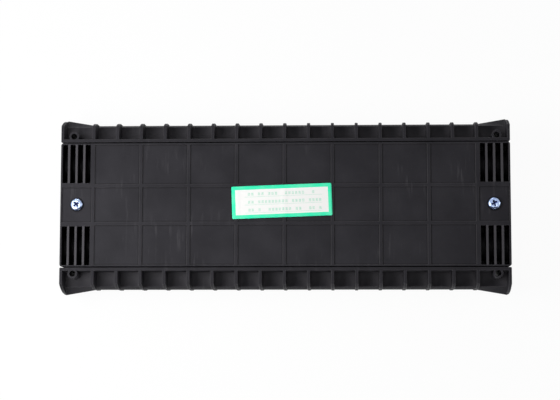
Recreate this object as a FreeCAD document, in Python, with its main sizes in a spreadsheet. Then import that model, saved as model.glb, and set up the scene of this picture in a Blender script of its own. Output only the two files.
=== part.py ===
import FreeCAD, Part
import os
import re

import Sketcher

# Driving sizes, in millimetres and degrees
SIZES = {
    "shell_length": 360,
    "shell_width": 99.5,
    "half_height": 25,
    "shell_wall": 2.5,
    "shell_corner": 2,
    "top_round": 0.7,
    "cavity_corner": 4,
    "bulkhead_wall": 5.1,
    "end_column": 26.4,
    "grid_columns": 8,
    "grid_pitch": 38.4,
    "grid_band": 2.4,
    "grid_row": 15.2,
    "cell_depth": 0.8,
    "border_band": 1.3,
    "slot_count": 4,
    "slot_width": 4.2,
    "slot_pitch": 6.13,
    "slot_inset": 1.5,
    "slot_length": 31.2,
    "flange_neck": 4,
    "flange_bead": 5,
    "flange_reach": 14.4,
    "bead_width": 4,
    "flange_setback": 3,
    "port_spacing": 66,
    "port_wall": 2.5,
    "port_collar": 0.8,
    "port_shoulder": 2.5,
    "shoulder_height": 1.2,
    "grommet_radius": 10,
    "grommet_length": 20.6,
    "grommet_groove": 0.8,
    "grommet_rib": 2.4,
    "fit_play": 0.15,
    "cable_radius": 6.5,
    "seal_radius": 1.5,
    "seal_play": 0.1,
    "seal_offset": 0.2,
    "screw_radius": 2.5,
    "screw_play": 0.25,
    "head_radius": 5,
    "head_height": 3.2,
    "head_round": 1.4,
    "screw_inset": 13.3,
    "boss_radius": 5.5,
    "nut_flats": 8,
    "nut_height": 4,
    "rail_gap": 0.7,
    "rail_play": 0.3,
    "rail_leg": 2.5,
    "rail_inner_wall": 2.5,
    "ledge_drop": 0.3,
    "rail_end_round": 0.8,
    "rib_count": 17,
    "rib_pitch": 19.2,
    "rib_thick": 2.4,
    "rib_proud": 0.25,
    "rib_shoulder": 10.5,
    "rib_round": 32,
    "rib_setback": 3.2,
    "rim_bevel": 1.8,
    "rim_drop": 4.8,
    "ear_root": 0.2,
    "ear_reach": 4.45,
    "ear_peak": 1.8,
    "ear_end_reach": 3.7,
    "ear_wall_inset": 0.2,
    "ear_round": 50,
    "ear_height": 1.5,
    "end_wall": 2.2,
    "lug_radius": 3.9,
    "lug_hole": 2.4,
    "lug_inset": 10.5,
    "lug_offset": 5.5,
    "bracket_thick": 1.5,
    "bracket_flat": 190,
    "bracket_ramp": 10,
    "bracket_length": 288,
    "tray_seat": 16.5,
    "post_radius": 4,
    "post_spacing_x": 164,
    "post_spacing_y": 68,
    "small_screw_radius": 1.5,
    "small_head_radius": 2.4,
    "small_head_height": 1.8,
    "small_head_bevel": 0.6,
    "small_screw_bite": 3.6,
    "clamp_position": 133,
    "clamp_width": 12,
    "clamp_thick": 1.2,
    "clamp_ear": 5.2,
    "cable_play": 0.2,
    "anchor_position": 114,
    "anchor_size": 9,
    "anchor_height": 12,
    "anchor_corner": 1.5,
    "anchor_bore": 1.6,
    "tray_length": 150,
    "tray_width": 84,
    "tray_height": 9,
    "tray_wall": 1.2,
    "tray_corner": 20,
    "spool_radius": 16,
    "spool_position": 44,
    "spool_height": 6,
    "tray_screw_position": 68,
    "pillar_radius": 3.2,
    "cover_thick": 1.2,
    "holder_length": 36,
    "holder_height": 6,
    "holder_floor": 1,
    "holder_slots": 12,
    "holder_pitch": 3,
    "holder_slot": 2.2,
    "label_length": 80,
    "label_width": 26,
    "label_thick": 0.2,
    "label_corner": 0.8,
    "label_shift_x": -2,
    "label_shift_y": 2.5,
    "label_turn": 2.1,
}

# Lines that several pieces share, written once as formulas of the sizes
SIDE = "shell_width / 2"
END = "shell_length / 2"
CAVITY_END = "(shell_length / 2 - end_column - bulkhead_wall / 2)"
PORT_Y = "port_spacing / 2"
SEAT_RADIUS = "(grommet_radius + fit_play)"
TUBE_RADIUS = "(grommet_radius + fit_play + port_wall)"
SEAT_OUTER = "(shell_length / 2 + port_collar - port_shoulder)"
SEAT_LENGTH = "(grommet_length + 2 * fit_play)"
THROAT_RADIUS = "(grommet_radius - shoulder_height)"
SEAL_Y = "(shell_width / 2 + seal_offset)"
SEAL_X = "(shell_length / 2 - end_column)"
SCREW_X = "(shell_length / 2 - screw_inset)"
LEDGE = "(half_height - ledge_drop)"
RAIL_IN = "(shell_width / 2 + rail_gap)"
RAIL_WALL = "(shell_width / 2 + rail_gap + rail_inner_wall)"
HOOK_OUT = "(shell_width / 2 + flange_reach - bead_width - rail_play)"
BACK_IN = "(shell_width / 2 + flange_reach + rail_play)"
RIM = "(shell_width / 2 + flange_reach + rail_play + rail_leg)"
NECK_TOP = "(flange_neck + rail_play)"
BEAD_TOP = "(flange_bead + rail_play)"
LEG_TOP = "(flange_bead + rail_play + rail_leg)"
LEG_MIDDLE = "(flange_bead + rail_play + rail_leg / 2)"
RIM_TOP = "(flange_bead + rail_play + rail_leg - rim_drop)"
LUG_X = "(shell_length / 2 - lug_inset)"
LUG_Y = "(shell_width / 2 + lug_offset)"
FIRST_RIB = "(-(rib_count - 1) / 2 * rib_pitch)"
LAST_RIB = "((rib_count - 1) / 2 * rib_pitch)"
CLAMP_SEAT = "(-(cable_radius + cable_play))"
CLAMP_BORE = "(cable_radius + cable_play)"
CLAMP_HOLE = "(cable_radius + cable_play + clamp_thick + clamp_ear / 2)"
CLAMP_REACH = "(cable_radius + cable_play + clamp_thick + clamp_ear)"
TRAY_SEAT = "(-tray_seat)"
COVER_SEAT = "(2 * tray_height - tray_seat)"

doc = FreeCAD.newDocument("splice_closure")
sheet = doc.addObject("Spreadsheet::Sheet", "Sizes")
for row, (alias, size) in enumerate(SIZES.items(), start=1):
    sheet.set(f"A{row}", alias)
    sheet.set(f"B{row}", str(size))
    sheet.setAlias(f"B{row}", alias)
doc.recompute()

nodes = []


def bound(formula):
    """Write a formula of size names as an expression on the sheet."""
    def refer(word):
        return "Sizes." + word.group() if word.group() in SIZES else word.group()
    return re.sub(r"[a-z_]+", refer, formula)


def number(formula):
    """Work a formula out now, for the first guess that a sketch needs."""
    return float(sheet.evalExpression(bound(formula)))


def origin(body, role):
    """Find one of the body's own base planes or axes."""
    return next(item for item in body.Origin.OriginFeatures if item.Role == role)


def new_body(label, z="0", turn=None, x="0", y="0"):
    """Start a body at a place given by formulas, turned about one axis if asked."""
    body = doc.addObject("PartDesign::Body", label)
    body.Label = label
    if turn:
        axis, angle = turn
        body.Placement = FreeCAD.Placement(FreeCAD.Vector(), FreeCAD.Rotation(axis, number(angle)))
        body.setExpression("Placement.Rotation.Angle", bound(angle))
    for side, formula in zip("xyz", (x, y, z)):
        body.setExpression("Placement.Base." + side, bound(formula))
    return body


def keep(item):
    """Hand a finished sub-part over for writing."""
    nodes.append(item)
    return item


def drawing_on(body, name, plane, offset="0"):
    """Start a sketch on one of the body's base planes, lifted along the plane's normal."""
    drawing = body.newObject("Sketcher::SketchObject", f"{body.Name}_{name}")
    drawing.AttachmentSupport = [(origin(body, plane), "")]
    drawing.MapMode = "FlatFace"
    drawing.setExpression("AttachmentOffset.Base.z", bound(offset))
    return drawing


def pin(drawing, item, end, x, y):
    """Tie one point of a sketch to the sketch's origin by two formulas."""
    for kind, axis, formula in (("DistanceX", -2, x), ("DistanceY", -1, y)):
        distance = number(formula)
        if distance == 0:
            drawing.addConstraint(Sketcher.Constraint("PointOnObject", item, end, axis))
            continue
        index = drawing.addConstraint(Sketcher.Constraint(kind, -1, 1, item, end, distance))
        drawing.setExpression(f"Constraints[{index}]", bound(formula))


def arc_between(start, finish, radius):
    """Make the arc that turns left from one point to the next."""
    chord = finish - start
    across = FreeCAD.Vector(-chord.y, chord.x, 0).normalize()
    rise = (radius ** 2 - (chord.Length / 2) ** 2) ** 0.5
    centre = (start + finish) / 2 + across * rise
    spans = [point - centre for point in (start, finish)]
    angles = [FreeCAD.Vector(1, 0, 0).getAngle(span) * (1 if span.y >= 0 else -1) for span in spans]
    return Part.ArcOfCircle(Part.Circle(centre, FreeCAD.Vector(0, 0, 1), radius), *angles)


def loop(drawing, corners):
    """Draw a closed outline through the corners; a third value is the radius of the arc that leaves it."""
    first = drawing.GeometryCount
    points = [FreeCAD.Vector(number(corner[0]), number(corner[1]), 0) for corner in corners]
    for index, corner in enumerate(corners):
        start, finish = points[index], points[(index + 1) % len(points)]
        if len(corner) > 2:
            item = drawing.addGeometry(arc_between(start, finish, number(corner[2])))
            radius = drawing.addConstraint(Sketcher.Constraint("Radius", item, number(corner[2])))
            drawing.setExpression(f"Constraints[{radius}]", bound(corner[2]))
        else:
            drawing.addGeometry(Part.LineSegment(start, finish))
    for index, corner in enumerate(corners):
        following = first + (index + 1) % len(corners)
        drawing.addConstraint(Sketcher.Constraint("Coincident", first + index, 2, following, 1))
        pin(drawing, first + index, 1, corner[0], corner[1])


def flipped(corners):
    """Turn an outline over about the middle plane, with its arcs between the same corners."""
    before = corners[-2::-1] + corners[-1:]
    return [(corner[0], f"-{corner[1]}", *earlier[2:]) for corner, earlier in zip(corners[::-1], before)]


def rectangle(drawing, left, right, low, high):
    """Draw a rectangle between four formulas."""
    loop(drawing, [(left, low), (right, low), (right, high), (left, high)])


def rounded(drawing, length, width, corner):
    """Draw a rounded rectangle about the origin."""
    right, inner = f"({length}) / 2", f"(({length}) / 2 - {corner})"
    high, upper = f"({width}) / 2", f"(({width}) / 2 - {corner})"
    loop(drawing, [
        (f"-{inner}", f"-{high}"), (inner, f"-{high}", corner), (right, f"-{upper}"), (right, upper, corner),
        (inner, high), (f"-{inner}", high, corner), (f"-{right}", upper), (f"-{right}", f"-{upper}", corner),
    ])


def circle(drawing, x, y, radius):
    """Draw a circle at a place and with a radius given by formulas."""
    centre = FreeCAD.Vector(number(x), number(y), 0)
    item = drawing.addGeometry(Part.Circle(centre, FreeCAD.Vector(0, 0, 1), number(radius)))
    index = drawing.addConstraint(Sketcher.Constraint("Radius", item, number(radius)))
    drawing.setExpression(f"Constraints[{index}]", bound(radius))
    pin(drawing, item, 3, x, y)


def extrude(kind, drawing, length, reverse=False, middle=False):
    """Pad or pocket a sketch of its own body, and check that the volume moved the right way."""
    body = drawing.getParentGeoFeatureGroup()
    doc.recompute()
    before = body.Shape.Volume if body.Tip and body.Tip.isDerivedFrom("PartDesign::Feature") else 0
    feature = body.newObject("PartDesign::" + kind, f"{drawing.Name}_{kind.lower()}")
    feature.Profile = drawing
    feature.setExpression("Length", bound(length))
    feature.Reversed = reverse
    if middle:
        feature.SideType = "Symmetric"
    doc.recompute()
    change = body.Shape.Volume - before
    if (change > 0) != (kind == "Pad"):
        raise ValueError(f"{feature.Name} changes the volume by {change}")
    return feature


def pad(drawing, length, **options):
    """Add material along the sketch's normal."""
    return extrude("Pad", drawing, length, **options)


def pocket(drawing, length, **options):
    """Take material away against the sketch's normal."""
    return extrude("Pocket", drawing, length, **options)


def repeat(feature, axis, length, count):
    """Repeat one feature along an axis of its body."""
    body = feature.getParentGeoFeatureGroup()
    row = body.newObject("PartDesign::LinearPattern", f"{feature.Name}_row")
    row.Originals = [feature]
    row.Direction = (origin(body, axis), [""])
    row.setExpression("Length", bound(length))
    row.setExpression("Occurrences", bound(count))
    body.Tip = row
    return row


def reflect(features, plane):
    """Mirror features across a base plane of their body."""
    body = features[0].getParentGeoFeatureGroup()
    twin = body.newObject("PartDesign::Mirrored", f"{features[0].Name}_twin")
    twin.Originals = features
    twin.MirrorPlane = (origin(body, plane), [""])
    body.Tip = twin
    return twin


def soften(feature, radius, chosen):
    """Round the edges of a feature that a test on their middle points picks."""
    doc.recompute()
    body = feature.getParentGeoFeatureGroup()
    edges = feature.Shape.Edges
    names = [f"Edge{index}" for index, edge in enumerate(edges, start=1) if chosen(edge)]
    fillet = body.newObject("PartDesign::Fillet", f"{feature.Name}_round")
    fillet.Base = (feature, names)
    fillet.setExpression("Radius", bound(radius))
    body.Tip = fillet
    return fillet


def revolve(body, name, corners):
    """Turn an outline of radius and height about the body's vertical axis."""
    drawing = drawing_on(body, name, "XZ_Plane")
    loop(drawing, corners)
    feature = body.newObject("PartDesign::Revolution", f"{drawing.Name}_turned")
    feature.Profile = drawing
    feature.ReferenceAxis = (origin(body, "Z_Axis"), [""])
    return feature


def group(label, members):
    """Gather like pieces into one sub-part of separate solids."""
    gathered = doc.addObject("Part::Compound", label)
    gathered.Label = label
    gathered.Links = members
    return keep(gathered)


# The two half shells: gridded top, flanged sides, slotted ends over half-round cable ports
def half_shell(label, turn):
    """Build what both half shells share, from the parting plane at height zero up to the gridded top."""
    body = new_body(label, z="half_height", turn=turn)
    outline = drawing_on(body, "outline", "XY_Plane")
    rounded(outline, "shell_length", "shell_width", "shell_corner")
    block = pad(outline, "half_height")
    top = number("half_height")
    soften(block, "top_round", lambda edge: abs(edge.CenterOfMass.z - top) < 1e-6)

    flange = drawing_on(body, "flange", "XY_Plane")
    reach = f"({SIDE} + flange_reach)"
    flange_end = f"({END} - flange_setback)"
    rectangle(flange, f"-{flange_end}", flange_end, f"-{reach}", reach)
    pad(flange, "flange_neck")
    bead = drawing_on(body, "bead", "XY_Plane")
    for side in ("", "-"):
        edges = sorted((f"{side}{reach}", f"{side}({SIDE} + flange_reach - bead_width)"), key=number)
        rectangle(bead, f"-{flange_end}", flange_end, *edges)
    pad(bead, "flange_bead")

    cavity = drawing_on(body, "cavity", "XY_Plane")
    rounded(cavity, f"2 * {CAVITY_END}", "shell_width - 2 * shell_wall", "cavity_corner")
    pocket(cavity, "half_height - shell_wall", reverse=True)

    slots = drawing_on(body, "slots", "XY_Plane", "half_height")
    outermost = f"({END} - slot_inset - slot_width)"
    lefts = (f"(-({outermost}) - slot_width)", f"({outermost} - (slot_count - 1) * slot_pitch)")
    slot_ends = (f"({PORT_Y} - slot_length / 2)", f"({PORT_Y} + slot_length / 2)")
    for left in lefts:
        rectangle(slots, left, f"{left} + slot_width", *slot_ends)
        rectangle(slots, left, f"{left} + slot_width", f"-{slot_ends[1]}", f"-{slot_ends[0]}")
    slot = pocket(slots, "half_height - flange_neck")
    repeat(slot, "X_Axis", "(slot_count - 1) * slot_pitch", "slot_count")

    hollow = drawing_on(body, "hollow", "XY_Plane")
    hollow_edge = f"({PORT_Y} - slot_length / 2 - shell_wall)"
    hollow_ends = (f"({SEAL_X} + bulkhead_wall / 2)", f"({END} - shell_wall)")
    rectangle(hollow, *hollow_ends, f"-{hollow_edge}", hollow_edge)
    rectangle(hollow, f"-{hollow_ends[1]}", f"-{hollow_ends[0]}", f"-{hollow_edge}", hollow_edge)
    pocket(hollow, "half_height - cell_depth - shell_wall", reverse=True)
    bosses = drawing_on(body, "bosses", "XY_Plane")
    for side in ("", "-"):
        circle(bosses, side + SCREW_X, "0", "boss_radius")
    pad(bosses, "half_height - cell_depth - shell_wall / 2")

    for name, side in (("right", ""), ("left", "-")):
        tubes = drawing_on(body, f"{name}_tubes", "YZ_Plane", side + CAVITY_END)
        for lane in ("", "-"):
            circle(tubes, lane + PORT_Y, "0", TUBE_RADIUS)
        pad(tubes, f"{END} + port_collar - {CAVITY_END}", reverse=side == "-")
    below = drawing_on(body, "below", "XY_Plane")
    margin = f"({END} + 2 * port_collar)"
    rectangle(below, f"-{margin}", margin, f"-{SIDE}", SIDE)
    pocket(below, f"2 * {TUBE_RADIUS}")
    throats = drawing_on(body, "throats", "YZ_Plane")
    for lane in ("", "-"):
        circle(throats, lane + PORT_Y, "0", THROAT_RADIUS)
    pocket(throats, f"2 * {margin}", middle=True)
    for name, side in (("right", ""), ("left", "-")):
        seats = drawing_on(body, f"{name}_seats", "YZ_Plane", side + SEAT_OUTER)
        for lane in ("", "-"):
            circle(seats, lane + PORT_Y, "0", SEAT_RADIUS)
        pocket(seats, SEAT_LENGTH, reverse=side == "-")

    side_grooves = drawing_on(body, "side_grooves", "YZ_Plane")
    for lane in ("", "-"):
        circle(side_grooves, lane + SEAL_Y, "0", "seal_radius + seal_play")
    pocket(side_grooves, "2 * shell_length", middle=True)
    end_grooves = drawing_on(body, "end_grooves", "XZ_Plane")
    for side in ("", "-"):
        circle(end_grooves, side + SEAL_X, "0", "seal_radius + seal_play")
    pocket(end_grooves, f"2 * {SEAL_Y}", middle=True)

    holes = drawing_on(body, "holes", "XY_Plane")
    for side in ("", "-"):
        circle(holes, side + SCREW_X, "0", "screw_radius + screw_play")
        for lane in ("", "-"):
            circle(holes, side + LUG_X, lane + LUG_Y, "lug_hole + rail_play")
    pocket(holes, "half_height", reverse=True)

    column = drawing_on(body, "column", "XY_Plane", "half_height")
    first = "(-(grid_columns - 1) / 2 * grid_pitch)"
    cell_sides = (f"{first} - (grid_pitch - grid_band) / 2", f"{first} + (grid_pitch - grid_band) / 2")
    row_edge = "(grid_row - grid_band / 2)"
    outer_row = ("(grid_row + grid_band / 2)", f"({SIDE} - border_band)")
    rectangle(column, *cell_sides, f"-{row_edge}", row_edge)
    rectangle(column, *cell_sides, *outer_row)
    rectangle(column, *cell_sides, f"-{outer_row[1]}", f"-{outer_row[0]}")
    cells = pocket(column, "cell_depth")
    repeat(cells, "X_Axis", "(grid_columns - 1) * grid_pitch", "grid_columns")

    end_cells = drawing_on(body, "end_cells", "XY_Plane", "half_height")
    inner, outer = "(grid_columns / 2 * grid_pitch + grid_band / 2)", f"({END} - border_band)"
    rectangle(end_cells, inner, outer, f"-{row_edge}", row_edge)
    rectangle(end_cells, f"-{outer}", f"-{inner}", f"-{row_edge}", row_edge)
    pocket(end_cells, "cell_depth")
    return body


def hexagon(drawing, x, flats):
    """Draw a hexagon by its width across flats, with two corners on the long axis."""
    reach = f"(({flats}) / sqrt(3))"
    half = f"(({flats}) / 2)"
    loop(drawing, [
        (f"{x} + {reach}", "0"), (f"{x} + {reach} / 2", half), (f"{x} - {reach} / 2", half),
        (f"{x} - {reach}", "0"), (f"{x} - {reach} / 2", f"-{half}"), (f"{x} + {reach} / 2", f"-{half}"),
    ])


keep(half_shell("upper_shell", None))

lower_shell = keep(half_shell("lower_shell", (FreeCAD.Vector(1, 0, 0), "180")))
nut_pockets = drawing_on(lower_shell, "nut_pockets", "XY_Plane", "half_height")
for side in ("", "-"):
    hexagon(nut_pockets, side + SCREW_X, "nut_flats + 2 * fit_play")
pocket(nut_pockets, "cell_depth + nut_height + fit_play")
posts = drawing_on(lower_shell, "posts", "XY_Plane", "tray_seat + bracket_thick")
post_holes = drawing_on(lower_shell, "post_holes", "XY_Plane", "tray_seat + bracket_thick")
for side in ("", "-"):
    for lane in ("", "-"):
        circle(posts, f"{side}post_spacing_x / 2", f"{lane}post_spacing_y / 2", "post_radius")
        circle(post_holes, f"{side}post_spacing_x / 2", f"{lane}post_spacing_y / 2", "small_screw_radius")
pad(posts, "half_height - shell_wall / 2 - tray_seat - bracket_thick")
pocket(post_holes, "small_screw_bite + fit_play", reverse=True)


# The side rails: a C section on the shells' flanges, ribbed pockets outside, lugs and ears at the ends
def side_rail(label, turn):
    """Build one rail on the rear side; the front one is the same moulding turned about the vertical."""
    body = new_body(label, z="half_height", turn=turn)
    section = drawing_on(body, "section", "YZ_Plane")
    upper = [
        (RAIL_IN, NECK_TOP), (HOOK_OUT, NECK_TOP), (HOOK_OUT, BEAD_TOP), (BACK_IN, BEAD_TOP),
    ]
    floor_edge = f"({RIM} - rim_bevel)"
    outside = [
        (RIM, RIM_TOP), (floor_edge, LEG_TOP), (RAIL_WALL, LEG_TOP), (RAIL_WALL, LEDGE), (RAIL_IN, LEDGE),
    ]
    corners = [(y, f"-{z}") for y, z in outside[::-1]] + outside + upper
    loop(section, corners + [(y, f"-{z}") for y, z in upper[::-1]])
    channel = pad(section, "shell_length", middle=True)
    wall_y = number(RAIL_IN)
    soften(channel, "rail_end_round", lambda edge: (
        abs(edge.CenterOfMass.y - wall_y) < 1e-6 and edge.BoundBox.ZLength > number("half_height / 2")))

    stations = (
        ("ear_root", LAST_RIB, "ear_root"),
        ("ear_peak", f"({END} - ear_peak)", "ear_reach"),
        ("ear_end", END, "ear_end_reach"),
    )
    drawings = []
    half_tip = "ear_height / 2"
    for name, offset, reach in stations:
        drawing = drawing_on(body, name, "YZ_Plane", offset)
        tip = f"({RIM} + {reach})"
        edge = [(tip, half_tip), (floor_edge, LEG_MIDDLE)]
        loop(drawing, flipped(edge) + edge)
        drawings.append(drawing)
    ear = body.newObject("PartDesign::AdditiveLoft", f"{label}_ear")
    ear.Profile = drawings[0]
    ear.Sections = drawings[1:]
    ear.Ruled = True
    doc.recompute()
    reflect([ear], "YZ_Plane")

    end_wall = drawing_on(body, "end_wall", "YZ_Plane", END)
    root = f"({RIM} - rail_leg / 2)"
    rib_end = f"({RIM} - rib_setback)"
    wall_tip = f"({RIM} + ear_end_reach - ear_wall_inset)"
    upper_wall = [
        (RAIL_WALL, LEG_MIDDLE), (root, LEG_MIDDLE), (root, half_tip), (wall_tip, half_tip, "ear_round"),
        (rib_end, LEDGE), (RAIL_WALL, LEDGE),
    ]
    loop(end_wall, upper_wall)
    loop(end_wall, flipped(upper_wall))
    walls = pad(end_wall, "end_wall", reverse=True)
    reflect([walls], "YZ_Plane")

    lugs = drawing_on(body, "lugs", "XY_Plane", LEG_MIDDLE)
    for side in ("", "-"):
        circle(lugs, side + LUG_X, LUG_Y, "lug_radius")
    lug = pad(lugs, f"{LEDGE} - {LEG_MIDDLE}")
    reflect([lug], "XY_Plane")
    holes = drawing_on(body, "lug_holes", "XY_Plane")
    for side in ("", "-"):
        circle(holes, side + LUG_X, LUG_Y, "lug_hole")
    pocket(holes, "4 * half_height", middle=True)

    rib = drawing_on(body, "rib", "YZ_Plane", FIRST_RIB)
    rib_face = f"({RIM} + rib_proud)"
    rib_foot = f"({RIM_TOP} / 2)"
    upper_rib = [
        (RAIL_WALL, LEG_MIDDLE), (root, LEG_MIDDLE), (root, rib_foot), (rib_face, rib_foot),
        (rib_face, "rib_shoulder", "rib_round"), (rib_end, LEDGE), (RAIL_WALL, LEDGE),
    ]
    loop(rib, upper_rib)
    loop(rib, flipped(upper_rib))
    ribs = pad(rib, "rib_thick", middle=True)
    repeat(ribs, "X_Axis", "(rib_count - 1) * rib_pitch", "rib_count")
    return body


keep(side_rail("rear_rail", None))
keep(side_rail("front_rail", (FreeCAD.Vector(0, 0, 1), "180")))


# Seals in the parting plane and grommets in the cable ports
def cord_seal(name, radius, length, turn, x, y):
    """Make a straight length of round seal cord about its own middle."""
    body = new_body(name, z="half_height", turn=turn, x=x, y=y)
    section = drawing_on(body, "section", "XY_Plane")
    circle(section, "0", "0", radius)
    pad(section, length, middle=True)
    return body


ALONG_X = (FreeCAD.Vector(0, 1, 0), "90")
ALONG_Y = (FreeCAD.Vector(1, 0, 0), "-90")
for name, lane in (("rear", ""), ("front", "-")):
    keep(cord_seal(f"{name}_seal", "seal_radius", "shell_length", ALONG_X, "0", lane + SEAL_Y))
for name, side in (("right", ""), ("left", "-")):
    throat = f"({PORT_Y} - {THROAT_RADIUS})"
    outer_start = f"({PORT_Y} + {THROAT_RADIUS})"
    outer_length = f"({SEAL_Y} - seal_radius - {outer_start})"
    pieces = [cord_seal(f"{name}_middle_cord", "seal_radius", f"2 * {throat}", ALONG_Y, side + SEAL_X, "0")]
    for lane_name, lane in (("rear", ""), ("front", "-")):
        middle = f"{lane}({outer_start} + {outer_length} / 2)"
        pieces.append(cord_seal(f"{name}_{lane_name}_cord", "seal_radius", outer_length, ALONG_Y,
                                side + SEAL_X, middle))
    group(f"{name}_end_seal", pieces)

CORNERS = [
    (f"{end}_{lane}", x_sign, y_sign)
    for end, x_sign in (("left", "-"), ("right", ""))
    for lane, y_sign in (("front", "-"), ("rear", ""))
]
for name, x_sign, y_sign in CORNERS:
    half = "(grommet_length / 2)"
    waist = "(grommet_radius - grommet_groove)"
    ridge = "(grommet_rib / 2)"
    bank = "(grommet_length / 2 - grommet_rib)"
    middle = f"{x_sign}({SEAT_OUTER} - {SEAT_LENGTH} / 2)"
    grommet = new_body(f"{name}_grommet", z="half_height", turn=ALONG_X, x=middle, y=y_sign + PORT_Y)
    revolve(grommet, "section", [
        ("cable_radius", f"-{half}"), ("grommet_radius", f"-{half}"), ("grommet_radius", f"-{bank}"),
        (waist, f"-{bank} + grommet_groove"), (waist, f"-{ridge} - grommet_groove"),
        ("grommet_radius", f"-{ridge}"), ("grommet_radius", ridge), (waist, f"{ridge} + grommet_groove"),
        (waist, f"{bank} - grommet_groove"), ("grommet_radius", bank), ("grommet_radius", half),
        ("cable_radius", half),
    ])
    keep(grommet)


# Fasteners
def pan_screw(name, x, y, seat, radius, head, height, length, crown):
    """Turn one pan-head screw whose head sits on a level measured from the parting plane."""
    body = new_body(name, z=f"half_height + {seat}", x=x, y=y)
    shoulder = f"{height} - {crown[0]}"
    revolve(body, "outline", [
        ("0", f"-({length})"), (radius, f"-({length})"), (radius, "0"), (head, "0"),
        (head, shoulder, *crown[1:]), (f"{head} - {crown[0]}", height), ("0", height),
    ])
    return body


ROUNDED_CROWN = ("head_round", "head_round")
BEVELLED_CROWN = ("small_head_bevel",)
screw_seat = "half_height - cell_depth"
for name, side in (("left", "-"), ("right", "")):
    keep(pan_screw(f"{name}_clamp_screw", side + SCREW_X, "0", screw_seat, "screw_radius", "head_radius",
                   "head_height", "2 * (half_height - cell_depth) - fit_play", ROUNDED_CROWN))
nuts = []
for name, side in (("left", "-"), ("right", "")):
    nut = new_body(f"{name}_nut", z="cell_depth + fit_play", x=side + SCREW_X)
    flats = drawing_on(nut, "flats", "XY_Plane")
    hexagon(flats, "0", "nut_flats")
    circle(flats, "0", "0", "screw_radius")
    pad(flats, "nut_height - fit_play")
    nuts.append(nut)
group("clamp_nuts", nuts)

# The folded bracket that carries the trays and holds the cables
bracket = new_body("mounting_bracket", z="half_height")
fold = drawing_on(bracket, "fold", "XZ_Plane")
knees = [
    ("bracket_length / 2", CLAMP_SEAT), ("(bracket_flat / 2 + bracket_ramp)", CLAMP_SEAT),
    ("bracket_flat / 2", TRAY_SEAT),
]
top_line = knees + [(f"-{x}", z) for x, z in knees[::-1]]
loop(fold, top_line + [(x, f"{z} - bracket_thick") for x, z in top_line[::-1]])
pad(fold, f"port_spacing + 2 * {CLAMP_REACH}", middle=True)
bracket_holes = drawing_on(bracket, "holes", "XY_Plane")
for side in ("", "-"):
    circle(bracket_holes, f"{side}tray_screw_position", "0", "small_screw_radius + fit_play")
    for lane in ("", "-"):
        places = [
            (f"{side}post_spacing_x / 2", f"{lane}post_spacing_y / 2"),
            (f"{side}anchor_position", f"{lane}{PORT_Y}"),
            (f"{side}clamp_position", f"{lane}{PORT_Y} + {CLAMP_HOLE}"),
            (f"{side}clamp_position", f"{lane}{PORT_Y} - {CLAMP_HOLE}"),
        ]
        for x, y in places:
            circle(bracket_holes, x, y, "small_screw_radius + fit_play")
pocket(bracket_holes, "half_height")
keep(bracket)

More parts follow.
